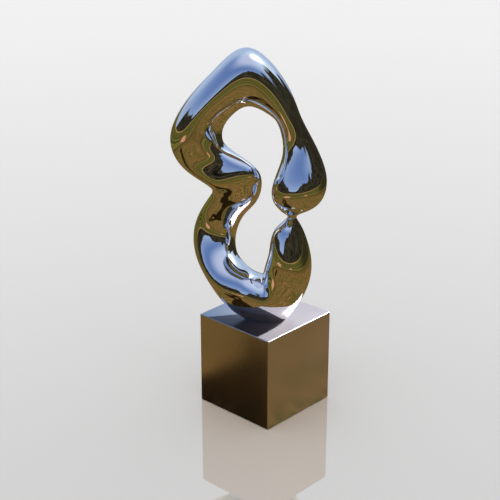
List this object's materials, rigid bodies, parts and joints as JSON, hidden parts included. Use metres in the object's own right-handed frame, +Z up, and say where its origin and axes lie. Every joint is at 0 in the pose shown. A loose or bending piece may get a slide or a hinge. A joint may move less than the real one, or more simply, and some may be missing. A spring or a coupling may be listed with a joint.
{
  "type": "abstract metal sculpture",
  "caption": "Abstract closed loop of mirror-polished steel with a pinched neck, standing upright on a square brushed-steel plinth; a decorative free-standing sculpture.",
  "frame": {"origin": "centre of the plinth's underside", "axes": "+Z up; X across the loop; the loop's front faces -Y, towards one upright edge of the plinth"},
  "size_m": [0.3708, 0.3094, 0.861],
  "materials": {
    "mirror_steel": "mirror-polished stainless steel",
    "satin_steel": "finely brushed stainless steel"
  },
  "bodies": {
    "root": {"loop": "mirror_steel", "plinth": "satin_steel"}
  },
  "joints": []
}
